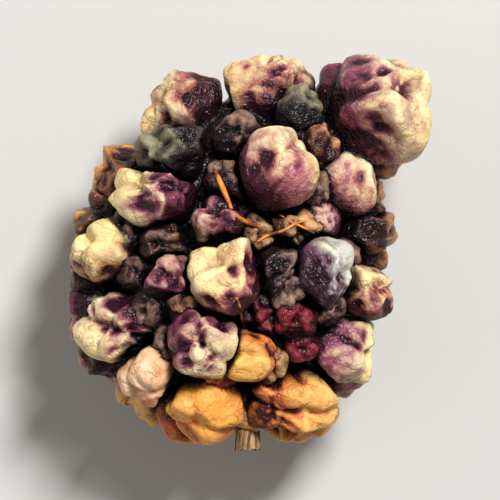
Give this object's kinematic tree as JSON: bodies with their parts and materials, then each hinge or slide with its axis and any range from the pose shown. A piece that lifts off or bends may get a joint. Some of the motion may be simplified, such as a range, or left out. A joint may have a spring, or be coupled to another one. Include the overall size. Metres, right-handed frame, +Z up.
{
  "type": "dried mulberry",
  "caption": "Dried black mulberry lying on its side: puckered drupelets crowded on an egg-shaped fruit, with a short stalk stub.",
  "frame": {"origin": "on the surface that the berry lies on, under the middle of its box", "axes": "+Y from the stalk towards the tip of the fruit, +Z up, +X to the side of the plump shoulder drupelet"},
  "size_m": [0.0164, 0.0176, 0.0121],
  "materials": {
    "skin": "matte, waxy, cream on the raised folds and purple-black in the hollows",
    "stalk": "matte, dry and fibrous"
  },
  "bodies": {
    "root": {"fruit": "skin", "stalk": "stalk"}
  },
  "joints": []
}
